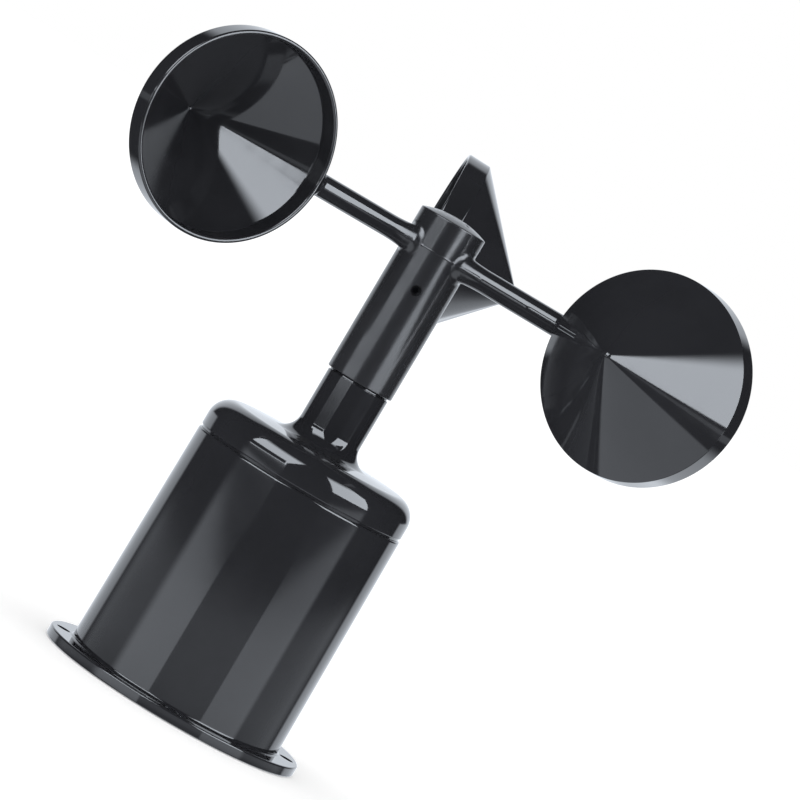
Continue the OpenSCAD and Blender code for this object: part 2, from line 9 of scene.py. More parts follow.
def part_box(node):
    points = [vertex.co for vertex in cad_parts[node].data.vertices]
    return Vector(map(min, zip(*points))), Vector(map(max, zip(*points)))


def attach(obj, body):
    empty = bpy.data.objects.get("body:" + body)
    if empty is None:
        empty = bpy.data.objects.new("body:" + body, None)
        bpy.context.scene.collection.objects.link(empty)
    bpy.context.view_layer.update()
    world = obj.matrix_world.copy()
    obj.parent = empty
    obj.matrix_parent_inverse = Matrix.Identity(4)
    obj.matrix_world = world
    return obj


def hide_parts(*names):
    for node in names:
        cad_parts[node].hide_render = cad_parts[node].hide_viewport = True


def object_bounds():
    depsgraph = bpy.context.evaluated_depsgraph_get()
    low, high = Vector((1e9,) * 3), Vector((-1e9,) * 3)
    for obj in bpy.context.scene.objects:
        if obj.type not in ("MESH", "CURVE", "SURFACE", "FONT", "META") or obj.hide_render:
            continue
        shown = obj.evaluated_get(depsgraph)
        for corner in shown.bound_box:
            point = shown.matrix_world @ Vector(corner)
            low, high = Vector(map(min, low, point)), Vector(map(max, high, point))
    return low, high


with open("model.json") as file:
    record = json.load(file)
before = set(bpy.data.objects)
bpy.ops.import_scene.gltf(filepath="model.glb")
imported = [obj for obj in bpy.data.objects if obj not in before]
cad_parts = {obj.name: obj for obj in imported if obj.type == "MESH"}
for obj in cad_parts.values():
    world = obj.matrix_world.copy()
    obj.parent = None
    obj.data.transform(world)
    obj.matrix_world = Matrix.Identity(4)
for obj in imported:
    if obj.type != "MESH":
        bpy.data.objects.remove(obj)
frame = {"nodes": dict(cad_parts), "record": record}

cad_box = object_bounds()

# Lengths in this script are millimetres until a piece is made, which turns them into metres.
MM = 0.001


def spans(node):
    """Lowest and highest corner of a CAD node in millimetres."""
    low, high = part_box(node)
    return low / MM, high / MM


def mount(name):
    """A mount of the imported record."""
    return next(m for m in frame["record"]["mounts"] if m["name"] == name)


# ---------------------------------------------------------------- sizes from the frame

flange_r = spans("housing")[1].x
seam_z = spans("housing")[1].z
cap_r = spans("cap")[1].x
cap_skirt_z = spans("cap")[0].z
tube_top_z = spans("cap")[1].z
hub_bottom_z = spans("rotor_hub")[0].z
hub_top_z = spans("rotor_hub")[1].z
arm_z = (spans("cup_rear")[0].z + spans("cup_rear")[1].z) / 2
cup_r = (spans("cup_rear")[1].z - spans("cup_rear")[0].z) / 2
cup_ring_r = (spans("cup_rear")[0].y + spans("cup_rear")[1].y) / 2
cup_rim = spans("cup_rear")[0].x
insert_r = spans("hub_insert")[1].x
insert_top_z = spans("hub_insert")[1].z
bearing_r = spans("upper_outer_ring")[1].x
upper_bearing_z = spans("upper_outer_ring")[0].z
lower_bearing_z = spans("lower_outer_ring")[0].z
lower_bearing_top_z = spans("lower_outer_ring")[1].z
set_screw_z = (spans("hub_set_screw")[0].z + spans("hub_set_screw")[1].z) / 2
cover_low, cover_high = spans("base_cover")
gasket_top_z = spans("cover_gasket")[1].z

bolt_pcd = mount("flange_bolts")["dims"]["pcd_mm"]
bolt_hole_r = mount("flange_bolts")["dims"]["hole_r_mm"]
socket_r = mount("cable_socket")["dims"]["r_mm"]
socket_z = mount("cable_socket")["pos_m"][2] / MM
socket_axis = Vector(mount("cable_socket")["axis"])

# ---------------------------------------------------------------- sizes the boxes don't give

flange_t = 3
foot_r = 33.2
top_r = 32.5
bore_r = 30
recess_r = 29
ledge_bore_r = 23
ledge_t = 2
screw_r = 1.5
cover_screw_ring_r = 25.6
cover_screw_turns = (15, 105, 195, 285)
cover_boss_r = 3.4
cover_boss_h = 11
pilot_depth = 3
countersink_r = 3.0
countersink_depth = 1.5
foot_groove_r = (12, 13.2)
foot_groove_depth = 0.25

seam_gap = 0.6
cap_lip_r = 31.8
cap_top_z = 82.8
cap_slope = 0.0465
cap_shoulder_r = 6.5
cap_ceiling_z = 80.3
cap_skirt_r = 27.2
neck_r = 9.55
neck_fillet = 5.5
neck_top_z = 104
collar_r = 9.1
collar_h = 0.45
tube_r = 7.2
tube_bore_r = 4.75
lower_boss_r = 8.2
lower_boss_z = lower_bearing_z - 0.4
seal_z = 68.8
seal_groove_h = 2
seal_groove_r = 28.2
hanger_ring_r = 21
hanger_r = 3.6
hanger_z = 74
hanger_turns = (30, 150, 270)

hub_r = 10.2
hub_dome_rise = 1.93
hub_bore_r = 8.4
hub_bore_top_z = 129.5
gate_r = 0.8
gate_floor_r = 0.7
gate_depth = 0.35
gate_place = (3.4, -4.6, hub_top_z - 0.55)
arm_r = 3.35
arm_root_fillet = 2.0
arm_flare = 0.3
arm_flare_len = 6.0
arm_turns = {"cup_rear": 90, "cup_left": 210, "cup_right": 330}

cup_wall = 1.35
cup_draft = 0.2
cup_crease = 4
cup_apex = 31
cup_tip_r = 2
cup_inner_tip_r = 0.8
cup_rim_round = 0.62

pad_r = 9.6
pad_face = 34.5
pad_edge = 0.5
pad_root_fillet = 0.8
socket_hole_depth = 8
socket_back = 25
socket_front = 45
socket_flange_r = 8.4
socket_flange_face = 35.5
socket_flange_t = 2
socket_bore_r = 4.7

QUARTERS = (0, 90, 180, 270)
AROUND = 192
OVERLAP = 0.5  # how far a cutter or an added part reaches past the face it meets


# ---------------------------------------------------------------- outlines and meshes

def rounded(corners, steps=6):
    """Outline of (x, z, radius) corners in order. A corner that has a radius becomes an arc."""
    outline = []
    for i, (x, z, radius) in enumerate(corners):
        corner = Vector((x, z))
        if not radius:
            outline.append(corner)
            continue
        before = (Vector(corners[i - 1][:2]) - corner).normalized()
        after = (Vector(corners[(i + 1) % len(corners)][:2]) - corner).normalized()
        half = before.angle(after) / 2
        centre = corner + (before + after).normalized() * (radius / math.sin(half))
        start = corner + before * (radius / math.tan(half)) - centre
        end = corner + after * (radius / math.tan(half)) - centre
        first = math.atan2(start.y, start.x)
        sweep = math.remainder(math.atan2(end.y, end.x) - first, math.tau)
        for k in range(steps + 1):
            angle = first + sweep * k / steps
            outline.append(centre + radius * Vector((math.cos(angle), math.sin(angle))))
    return outline


def facing_out(bm):
    """Turns every face of a closed mesh outwards."""
    bmesh.ops.recalc_face_normals(bm, faces=bm.faces)
    if bm.calc_volume(signed=True) < 0:
        bmesh.ops.reverse_faces(bm, faces=bm.faces)
    return bm


def lathe(outline, around=AROUND):
    """A closed outline of (x, z) points turned round the Z axis. A point on it becomes one vertex."""
    bm = bmesh.new()
    rings = []
    for x, z in outline:
        if abs(x) < 1e-6:
            rings.append([bm.verts.new((0, 0, z))])
            continue
        turns = [math.tau * k / around for k in range(around)]
        rings.append([bm.verts.new((x * math.cos(a), x * math.sin(a), z)) for a in turns])
    for low, high in zip(rings, rings[1:] + rings[:1]):
        if len(low) == 1 and len(high) == 1:
            continue
        for k in range(around):
            n = (k + 1) % around
            loop = [low[k % len(low)], low[n % len(low)], high[n % len(high)], high[k % len(high)]]
            bm.faces.new(list(dict.fromkeys(loop)))
    return facing_out(bm)


def loft(rings):
    """Skin over rings of points, closed by a face at each end."""
    bm = bmesh.new()
    made = [[bm.verts.new(point) for point in ring] for ring in rings]
    count = len(made[0])
    for low, high in zip(made, made[1:]):
        for k in range(count):
            n = (k + 1) % count
            bm.faces.new((low[k], low[n], high[n], high[k]))
    bm.faces.new(made[0][::-1])
    bm.faces.new(made[-1])
    return facing_out(bm)


def placed(bm, matrix):
    bmesh.ops.transform(bm, matrix=matrix, verts=bm.verts)
    return bm


def turned(bm, degrees):
    return placed(bm, Matrix.Rotation(math.radians(degrees), 4, "Z"))


def merged(parts):
    """Several meshes as one, without joining their faces."""
    whole = bmesh.new()
    for part in parts:
        copy = bpy.data.meshes.new("part")
        part.to_mesh(copy)
        part.free()
        whole.from_mesh(copy)
        bpy.data.meshes.remove(copy)
    return whole


def as_object(name, bm):
    mesh = bpy.data.meshes.new(name)
    bm.to_mesh(mesh)
    bm.free()
    made = bpy.data.objects.new(name, mesh)
    bpy.context.scene.collection.objects.link(made)
    return made


def combined(bm, tool, operation):
    """Exact boolean of two meshes as a new mesh."""
    base = as_object("base", bm)
    other = as_object("tool", tool)
    modifier = base.modifiers.new("combine", "BOOLEAN")
    modifier.operation = operation
    modifier.solver = "EXACT"
    modifier.object = other
    result = bmesh.new()
    result.from_object(base, bpy.context.evaluated_depsgraph_get())
    for used in (base, other):
        mesh = used.data
        bpy.data.objects.remove(used)
        bpy.data.meshes.remove(mesh)
    bmesh.ops.remove_doubles(result, verts=result.verts, dist=1e-4)
    return result


def joined(bm, tool):
    return combined(bm, tool, "UNION")


def cut(bm, tool):
    return combined(bm, tool, "DIFFERENCE")


def piece(name, bm, body, material_slot, stands_for, crease=32):
    """A shown piece in metres: shaded smooth up to the crease angle, riding on a body."""
    placed(bm, Matrix.Scale(MM, 4))
    made = as_object(name, bm)
    made.data.shade_smooth()
    made.data.set_sharp_from_angle(angle=math.radians(crease))
    weighted = made.modifiers.new("weighted_normals", "WEIGHTED_NORMAL")
    weighted.keep_sharp = True
    made.data.materials.append(materials[material_slot])
    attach(made, body)
    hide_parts(*stands_for)
    return made


def drill(radius, chamfer, low, high, overshoot=0.3):
    """Cutter for a hole through a plate, with a small chamfer at both faces."""
    wide = radius + chamfer + overshoot
    outline = [
        (0, low - overshoot), (wide, low - overshoot), (radius, low + chamfer),
        (radius, high - chamfer), (wide, high + overshoot), (0, high + overshoot),
    ]
    return lathe(outline, around=64)


def rod(radius, low, high, around=64):
    return lathe([(0, low), (radius, low), (radius, high), (0, high)], around)


def shifted(bm, x, y, z):
    return placed(bm, Matrix.Translation((x, y, z)))


def repeated(make, radius, turns):
    """Copies of a mesh at a radius from the axis, at the listed turns."""
    return merged([turned(shifted(make(), radius, 0, 0), turn) for turn in turns])


def branch(rows, around=64):
    """Round branch along +X. Each row is (surface, offset, radius), and surface gives x from y and z."""
    rings = []
    for surface, offset, radius in rows:
        ring = []
        for k in range(around):
            angle = math.tau * k / around
            y, z = radius * math.cos(angle), radius * math.sin(angle)
            ring.append((surface(y, z) + offset, y, z))
        rings.append(ring)
    return loft(rings)


def root_rows(surface, radius, fillet, steps=6):
    """First rows of a branch, which grow out of a surface with a fillet."""
    buried, sunk = 0.8, 0.02
    rows = [(surface, -buried, radius + fillet)]
    for k in range(steps + 1):
        angle = math.radians(90 * k / steps)
        offset = fillet * (1 - math.cos(angle)) - sunk
        rows.append((surface, offset, radius + fillet * (1 - math.sin(angle))))
    return rows


def plane_at(x):
    return lambda y, z: x


def cylinder_side(radius):
    """Side of an upright cylinder on the Z axis."""
    return lambda y, z: math.sqrt(radius * radius - y * y)


# ---------------------------------------------------------------- node materials

def links(tree):
    """Short makers for nodes of one node tree."""
    def node(kind, **values):
        made = tree.nodes.new(kind)
        for name, value in values.items():
            setattr(made, name, value)
        return made

    def feed(socket, value):
        if isinstance(value, bpy.types.NodeSocket):
            tree.links.new(value, socket)
        else:
            socket.default_value = value

    def maths(operation, first, second=0.0):
        made = node("ShaderNodeMath", operation=operation)
        feed(made.inputs[0], first)
        feed(made.inputs[1], second)
        return made.outputs[0]

    def ramp(value, low, high, to_low=0.0, to_high=1.0):
        made = node("ShaderNodeMapRange", interpolation_type="SMOOTHSTEP")
        feed(made.inputs["Value"], value)
        feed(made.inputs["From Min"], low)
        feed(made.inputs["From Max"], high)
        feed(made.inputs["To Min"], to_low)
        feed(made.inputs["To Max"], to_high)
        return made.outputs["Result"]

    def mix(share, first, second):
        made = node("ShaderNodeMix", data_type="RGBA")
        feed(made.inputs["Factor"], share)
        feed(made.inputs[6], first)
        feed(made.inputs[7], second)
        return made.outputs[2]

    return node, feed, maths, ramp, mix


def noise(tree, place, per_mm, detail=3.0, roughness=0.55):
    """Noise whose features repeat about per_mm times in a millimetre."""
    made = tree.nodes.new("ShaderNodeTexNoise")
    tree.links.new(place, made.inputs["Vector"])
    made.inputs["Scale"].default_value = per_mm / MM
    made.inputs["Detail"].default_value = detail
    made.inputs["Roughness"].default_value = roughness
    return made.outputs["Fac"]


def tinted(colour, factor):
    return (colour[0] * factor, colour[1] * factor, colour[2] * factor, 1.0)


CLOUDS_PER_MM = 0.05
SMUDGES_PER_MM = 0.16
WAVES_PER_MM = 0.09
DUST_COLOUR = (0.42, 0.41, 0.39, 1.0)
DUST_ROUGHNESS = 0.6
CORE_ZONE = (12 * MM, 18 * MM)


def distance_from_axis(tree, place):
    node, feed, maths, ramp, mix = links(tree)
    flat = node("ShaderNodeVectorMath", operation="MULTIPLY")
    feed(flat.inputs[0], place)
    flat.inputs[1].default_value = (1, 1, 0)
    distance = node("ShaderNodeVectorMath", operation="LENGTH")
    feed(distance.inputs[0], flat.outputs[0])
    return distance.outputs["Value"]


def material(name, colour, metallic=0.0, roughness=0.4, rough_spread=0.06, tint_spread=0.08,
             grain_per_mm=4.0, grain_height=0.002, wave_height=0.0, edge_light=0.25, dust=0.0,
             stretch=(1, 1, 1), coat=0.0, core_rough=0.0):
    """Procedural finish: cloudy tint, uneven gloss, fine grain, slow waves, paler edges and dust on top.

    Heights are millimetres. core_rough is the roughness added near the Z axis, inside CORE_ZONE.
    """
    made = bpy.data.materials.new(name)
    made.use_nodes = True
    tree = made.node_tree
    node, feed, maths, ramp, mix = links(tree)
    shader = tree.nodes["Principled BSDF"]
    place = node("ShaderNodeTexCoord").outputs["Object"]
    geometry = node("ShaderNodeNewGeometry")
    mapping = node("ShaderNodeMapping")
    feed(mapping.inputs["Vector"], place)
    mapping.inputs["Scale"].default_value = stretch
    grained = mapping.outputs["Vector"]

    cloud = noise(tree, place, CLOUDS_PER_MM)
    grain = noise(tree, grained, grain_per_mm)
    smudge = noise(tree, place, SMUDGES_PER_MM, detail=5.0)

    tint = mix(ramp(cloud, 0.3, 0.7), tinted(colour, 1 - tint_spread), tinted(colour, 1 + tint_spread))
    if edge_light:
        edges = ramp(geometry.outputs["Pointiness"], 0.54, 0.66, 0.0, edge_light)
        tint = mix(edges, tint, tinted([c + 0.08 for c in colour], 1.5))
    upward = node("ShaderNodeSeparateXYZ")
    feed(upward.inputs[0], geometry.outputs["Normal"])
    settled = ramp(upward.outputs["Z"], 0.8, 1.0, 0.0, dust)
    settled = maths("MULTIPLY", settled, ramp(smudge, 0.35, 0.75))
    tint = mix(settled, tint, DUST_COLOUR)
    feed(shader.inputs["Base Color"], tint)

    gloss = ramp(smudge, 0.25, 0.75, max(roughness - rough_spread, 0.01), roughness + rough_spread)
    gloss = maths("ADD", gloss, maths("MULTIPLY", settled, DUST_ROUGHNESS))
    if core_rough:
        gloss = maths("ADD", gloss, ramp(distance_from_axis(tree, place), *CORE_ZONE, core_rough, 0.0))
    feed(shader.inputs["Roughness"], maths("MINIMUM", gloss, 1.0))

    fine = node("ShaderNodeBump")
    feed(fine.inputs["Height"], grain)
    fine.inputs["Strength"].default_value = 1.0
    fine.inputs["Distance"].default_value = grain_height * MM
    if wave_height:
        slow = node("ShaderNodeBump")
        feed(slow.inputs["Height"], noise(tree, place, WAVES_PER_MM, detail=1.0))
        slow.inputs["Strength"].default_value = 1.0
        slow.inputs["Distance"].default_value = wave_height * MM
        feed(fine.inputs["Normal"], slow.outputs["Normal"])
    feed(shader.inputs["Normal"], fine.outputs["Normal"])

    shader.inputs["Metallic"].default_value = metallic
    shader.inputs["Coat Weight"].default_value = coat
    return made


glossy_black = (0.0205, 0.0213, 0.0247)

materials = {
    "shell_plastic": material(
        "shell_plastic", glossy_black, roughness=0.052, rough_spread=0.006,
        grain_height=0.0004, wave_height=0.003, edge_light=0.0, dust=0.03),
    "rotor_plastic": material(
        "rotor_plastic", glossy_black, roughness=0.06, rough_spread=0.02,
        grain_height=0.0004, wave_height=0.003, edge_light=0.0, dust=0.03, core_rough=0.15),
    "inner_plastic": material("inner_plastic", (0.03, 0.03, 0.032), roughness=0.5, grain_height=0.01),
    "chip_plastic": material(
        "chip_plastic", (0.02, 0.02, 0.022), roughness=0.6, grain_per_mm=9, grain_height=0.012),
    "nylon": material("nylon", (0.72, 0.70, 0.60), roughness=0.42, grain_height=0.006),
    "board": material(
        "board", (0.018, 0.15, 0.06), roughness=0.28, tint_spread=0.2, grain_per_mm=2.2,
        grain_height=0.008, stretch=(1, 0.15, 1), coat=0.4),
    "rubber": material("rubber", (0.02, 0.02, 0.02), roughness=0.75, grain_height=0.012, dust=0.15),
    "shaft_steel": material(
        "shaft_steel", (0.58, 0.58, 0.60), metallic=1.0, roughness=0.24, grain_per_mm=6,
        grain_height=0.002, stretch=(1, 1, 6)),
    "ball_steel": material(
        "ball_steel", (0.70, 0.70, 0.72), metallic=1.0, roughness=0.09, rough_spread=0.03,
        grain_height=0.0005),
    "screw_steel": material(
        "screw_steel", (0.52, 0.53, 0.55), metallic=1.0, roughness=0.32, tint_spread=0.14,
        grain_per_mm=5, grain_height=0.004),
    "black_oxide": material(
        "black_oxide", (0.035, 0.035, 0.038), metallic=1.0, roughness=0.38, tint_spread=0.14,
        grain_per_mm=5, grain_height=0.004),
    "brass": material(
        "brass", (0.66, 0.46, 0.17), metallic=1.0, roughness=0.27, tint_spread=0.12,
        grain_per_mm=5, grain_height=0.003, stretch=(1, 1, 5)),
    "can_aluminium": material(
        "can_aluminium", (0.68, 0.69, 0.71), metallic=1.0, roughness=0.34, grain_height=0.004,
        stretch=(1, 1, 0.2)),
    "socket_metal": material(
        "socket_metal", (0.50, 0.50, 0.52), metallic=1.0, roughness=0.26, tint_spread=0.12,
        grain_per_mm=5, grain_height=0.003, dust=0.05),
    "pin_gold": material(
        "pin_gold", (0.80, 0.58, 0.22), metallic=1.0, roughness=0.2, grain_height=0.001),
    "wire_brown": material("wire_brown", (0.16, 0.07, 0.03), roughness=0.45, grain_height=0.004),
    "wire_green": material("wire_green", (0.03, 0.25, 0.10), roughness=0.45, grain_height=0.004),
    "wire_blue": material("wire_blue", (0.04, 0.12, 0.42), roughness=0.45, grain_height=0.004),
    "wire_black": material("wire_black", (0.02, 0.02, 0.02), roughness=0.45, grain_height=0.004),
}


# ---------------------------------------------------------------- housing and its cover

def housing_wall_r(z):
    """Outside radius of the tapered housing at a height."""
    return foot_r + (top_r - foot_r) * (z - flange_t) / (seam_z - flange_t)


def housing_outline():
    ledge_top = gasket_top_z + ledge_t
    return rounded([
        (ledge_bore_r, gasket_top_z, 0.2),
        (recess_r, gasket_top_z, 0),
        (recess_r, 0, 0.3),
        (flange_r, 0, 0.35),
        (flange_r, flange_t, 0.5),
        (foot_r, flange_t, 0.7),
        (top_r, seam_z, 0.8),
        (bore_r, seam_z, 0.3),
        (bore_r, ledge_top, 0.5),
        (ledge_bore_r, ledge_top, 0.2),
    ])


def socket_turn():
    return math.degrees(math.atan2(socket_axis.y, socket_axis.x))


def cover_boss():
    """Post on the housing's ledge for a cover screw, hollow up to its closed end."""
    low, high, end_t = gasket_top_z + OVERLAP, gasket_top_z + cover_boss_h, 1
    return lathe(rounded([
        (screw_r, low, 0), (cover_boss_r, low, 0), (cover_boss_r, high, 0.4),
        (0, high, 0), (0, high - end_t, 0), (screw_r, high - end_t, 0),
    ]), around=48)


def socket_pad():
    """Round pad that grows out of the housing's wall and ends in a flat face for the socket's seal."""
    def wall(y, z):
        return math.sqrt(housing_wall_r(socket_z + z) ** 2 - y * y)

    rows = root_rows(wall, pad_r, pad_root_fillet)
    steps = 4
    for k in range(steps + 1):
        angle = math.radians(90 * k / steps)
        face = plane_at(pad_face - pad_edge + pad_edge * math.sin(angle))
        rows.append((face, 0, pad_r - pad_edge + pad_edge * math.cos(angle)))
    pad = shifted(branch(rows, around=96), 0, 0, socket_z)
    return turned(pad, socket_turn())


def along_socket(bm):
    """Turns a mesh from the Z axis to the socket's. Its z becomes the distance from the housing's axis."""
    lying = Matrix.Rotation(math.radians(90), 4, "Y")
    placed(bm, Matrix.Translation((0, 0, socket_z)) @ lying)
    return turned(bm, socket_turn())


def make_housing():
    shell = lathe(housing_outline(), around=256)
    shell = joined(shell, repeated(cover_boss, cover_screw_ring_r, cover_screw_turns))
    shell = joined(shell, socket_pad())
    shell = cut(shell, repeated(lambda: drill(bolt_hole_r, 0.2, 0, flange_t), bolt_pcd / 2, QUARTERS))
    pilot = (gasket_top_z - OVERLAP, gasket_top_z + pilot_depth)
    shell = cut(shell, repeated(lambda: rod(screw_r, *pilot), cover_screw_ring_r, cover_screw_turns))
    socket_hole = rod(socket_r + 0.1, pad_face - socket_hole_depth, pad_face + 1, around=96)
    shell = cut(shell, along_socket(socket_hole))
    return piece("housing_shell", shell, "stator", "shell_plastic", ["housing"])


def make_base_plate():
    """Round cover in the housing's foot, with countersunk holes and a shallow groove on its underside."""
    low, high, edge = cover_low.z, cover_high.z, cover_high.x
    groove_top = low + foot_groove_depth
    inner, outer = foot_groove_r
    plate = lathe(rounded([
        (0, low, 0), (inner, low, 0), (inner, groove_top, 0.1), (outer, groove_top, 0.1),
        (outer, low, 0.1), (edge, low, 0.3), (edge, high, 0.2), (0, high, 0),
    ], steps=4))

    def countersink():
        start = low - 0.2
        return lathe([
            (0, start), (countersink_r, start), (screw_r, low + countersink_depth),
            (screw_r, high + 1), (0, high + 1),
        ], around=64)

    plate = cut(plate, repeated(countersink, cover_screw_ring_r, cover_screw_turns))
    return piece("base_plate", plate, "stator", "shell_plastic", ["base_cover"])


# ---------------------------------------------------------------- cap with neck

def cap_outline():
    lip_z = seam_z + seam_gap
    groove = (seal_z - seal_groove_h / 2, seal_z + seal_groove_h / 2)
    flat_edge = cap_r - cap_shoulder_r
    return rounded([
        (cap_lip_r, seam_z, 0),
        (cap_lip_r, lip_z, 0),
        (cap_r, lip_z, 0.35),
        (cap_r, cap_top_z + cap_slope * (flat_edge - cap_r), cap_shoulder_r),
        (neck_r, cap_top_z + cap_slope * (flat_edge - neck_r), neck_fillet),
        (neck_r, neck_top_z, 0.15),
        (collar_r, neck_top_z, 0),
        (collar_r, neck_top_z + collar_h, 0.1),
        (tube_r, neck_top_z + collar_h, 0.3),
        (tube_r, tube_top_z, 0.3),
        (bearing_r, tube_top_z, 0),
        (bearing_r, upper_bearing_z, 0),
        (tube_bore_r, upper_bearing_z, 0),
        (tube_bore_r, lower_bearing_top_z, 0),
        (bearing_r, lower_bearing_top_z, 0),
        (bearing_r, lower_boss_z, 0),
        (lower_boss_r, lower_boss_z, 0.3),
        (lower_boss_r, cap_ceiling_z, 0.5),
        (cap_skirt_r, cap_ceiling_z, 1.0),
        (cap_skirt_r, cap_skirt_z, 0.3),
        (bore_r, cap_skirt_z, 0.4),
        (bore_r, groove[0], 0),
        (seal_groove_r, groove[0], 0),
        (seal_groove_r, groove[1], 0),
        (bore_r, groove[1], 0),
        (bore_r, seam_z, 0),
    ], steps=12)


def hanger():
    """Boss under the cap's ceiling, with a hole for a board stand-off's stud."""
    hole_top = hanger_z + 5
    top = cap_ceiling_z + OVERLAP
    return lathe(rounded([
        (screw_r, hanger_z, 0), (hanger_r, hanger_z, 0.3), (hanger_r, top, 0),
        (0, top, 0), (0, hole_top, 0), (screw_r, hole_top, 0),
    ]), around=48)


def make_cap():
    shell = lathe(cap_outline(), around=256)
    shell = joined(shell, repeated(hanger, hanger_ring_r, hanger_turns))
    return piece("cap_shell", shell, "stator", "shell_plastic", ["cap"])


# ---------------------------------------------------------------- rotor moulding

parting_rib = 0.12
spine_r = 0.75
spine_proud = 0.25
spine_bury = 1.5
spine_lean = 0.25
cone_spine_bury = 1.2
hub_spine_reach = 18.5
cup_spine_back = 13.2
cup_spine_reach = 17.4
# Where an arm meets its cup: the distance before the cup's band, and how much the arm has grown.
ARM_SWELL = ((1.2, 0.0), (0.8, 0.04), (0.5, 0.12), (0.25, 0.26), (0.05, 0.48), (-0.4, 0.55))


def dome_points(steps=14):
    """Domed top from the hub's edge to the axis."""
    radius = (hub_r * hub_r + hub_dome_rise * hub_dome_rise) / (2 * hub_dome_rise)
    spread = math.asin(hub_r / radius)
    low = hub_top_z - radius
    turns = [spread * (1 - k / steps) for k in range(steps + 1)]
    return [(radius * math.sin(a), low + radius * math.cos(a), 0) for a in turns]


def hub_outline():
    dome = dome_points()
    edge = (dome[0][0], dome[0][1], 0.45)
    return rounded([
        (0, insert_top_z, 0),
        (insert_r, insert_top_z, 0),
        (insert_r, hub_bore_top_z, 0),
        (hub_bore_r, hub_bore_top_z, 0.3),
        (hub_bore_r, hub_bottom_z, 0.25),
        (hub_r, hub_bottom_z, 0.35),
        (hub_r, arm_z - 0.4, 0),
        (hub_r + parting_rib, arm_z - 0.15, 0),
        (hub_r + parting_rib, arm_z + 0.05, 0),
        (hub_r, arm_z + 0.3, 0),
        edge,
        *dome[1:-1],
        (0, hub_top_z, 0),
    ])


def cup_band_side(y, z):
    """Where an arm meets its cup: the outside of the cup's band."""
    return cup_ring_r - math.sqrt(cup_r * cup_r - z * z)


def arm():
    """One arm along +X, with a filleted root, a slight flare and a small swell at the cup."""
    rows = root_rows(cylinder_side(hub_r), arm_r + arm_flare, arm_root_fillet)
    first = hub_r + arm_root_fillet + 0.1
    steps = 8
    for k in range(1, steps + 1):
        share = k / steps
        rows.append((plane_at(first + arm_flare_len * share), 0, arm_r + arm_flare * (1 - share) ** 2))
    end = cup_ring_r - cup_r
    rows.append((plane_at((first + end) / 2), 0, arm_r))
    for back, swell in ARM_SWELL:
        rows.append((cup_band_side, -back, arm_r + swell))
    return shifted(branch(rows), 0, 0, arm_z)


def spine(start, end):
    """Rounded rib between two points, half sunk in the surface it runs along."""
    start, end = Vector(start), Vector(end)
    length = (end - start).length
    taper, steps = 2.2, 7
    outline = [(0, 0)]
    for k in range(1, steps + 1):
        turn = math.pi / 2 * k / steps
        outline.append((spine_r * math.sin(turn), taper * (1 - math.cos(turn))))
    outline += [(x, length - z) for x, z in outline[::-1]]
    along = (end - start).to_track_quat("Z", "Y").to_matrix().to_4x4()
    return placed(lathe(outline, around=24), Matrix.Translation(start) @ along)


def arm_spines():
    """Ribs on the side of the arm that faces the cup's tip, one at the hub and one at the cup."""
    y = -(arm_r + spine_proud - spine_r)
    far = cup_ring_r - cup_r + spine_bury
    near_hub = spine((hub_r - spine_bury, y - spine_lean, arm_z), (hub_spine_reach, y, arm_z))
    near_cup = spine((far - cup_spine_back, y, arm_z), (far, y, arm_z))
    return merged([near_hub, near_cup])


def set_screw_hole():
    hole = rod(screw_r + 0.05, insert_r - OVERLAP, hub_r + 1, around=48)
    lying = Matrix.Rotation(math.radians(90), 4, "X")
    return placed(hole, Matrix.Translation((0, 0, set_screw_z)) @ lying)


def gate_mark():
    """Shallow round mark that the moulding leaves on the hub's top."""
    mark = lathe(rounded([
        (0, -gate_depth, 0), (gate_floor_r, -gate_depth, 0.25), (gate_r, 1, 0), (0, 1, 0),
    ], steps=4), around=32)
    return shifted(mark, *gate_place)


def make_rotor():
    hub = lathe(hub_outline())
    hub = joined(hub, merged([turned(arm(), turn) for turn in arm_turns.values()]))
    hub = joined(hub, merged([turned(arm_spines(), turn) for turn in arm_turns.values()]))
    hub = cut(hub, set_screw_hole())
    hub = cut(hub, gate_mark())
    return piece("rotor_moulding", hub, "rotor", "rotor_plastic", ["rotor_hub"])


# ---------------------------------------------------------------- cups

cup_half_angle = math.atan2(cup_r - cup_draft, cup_apex - cup_crease)


def tip_points(apex, radius, steps=8):
    """Round tip of a cone from its side to the axis."""
    centre = apex - radius / math.sin(cup_half_angle)
    turns = [cup_half_angle + (math.pi / 2 - cup_half_angle) * k / steps for k in range(steps + 1)]
    points = [(radius * math.cos(a), centre + radius * math.sin(a), 0) for a in turns]
    return points[:-1] + [(0, centre + radius, 0)]


def cup_outline():
    inner_r = cup_r - cup_wall
    inner_apex = cup_apex - cup_wall / math.sin(cup_half_angle)
    inner_crease_r = inner_r - cup_draft
    inner_crease = inner_apex - inner_crease_r / math.tan(cup_half_angle)
    outer = [
        (cup_r, cup_rim, cup_rim_round), (cup_r - cup_draft, cup_crease, 0.5),
        *tip_points(cup_apex, cup_tip_r),
    ]
    inner = [
        (inner_r, cup_rim, cup_rim_round), (inner_crease_r, inner_crease, 1.0),
        *tip_points(inner_apex, cup_inner_tip_r),
    ]
    return rounded(outer + inner[::-1])


def cone_spine():
    """Rib on the outside of the cone, from the arm towards the tip."""
    crease_r = cup_r - cup_draft
    slope = Vector((math.sin(cup_half_angle), 0, math.cos(cup_half_angle)))
    outward = Vector((-math.cos(cup_half_angle), 0, math.sin(cup_half_angle)))
    start = Vector((-crease_r, 0, cup_crease)) + outward * (spine_proud - spine_r)
    return spine(start - slope * cone_spine_bury, start + slope * cup_spine_reach)


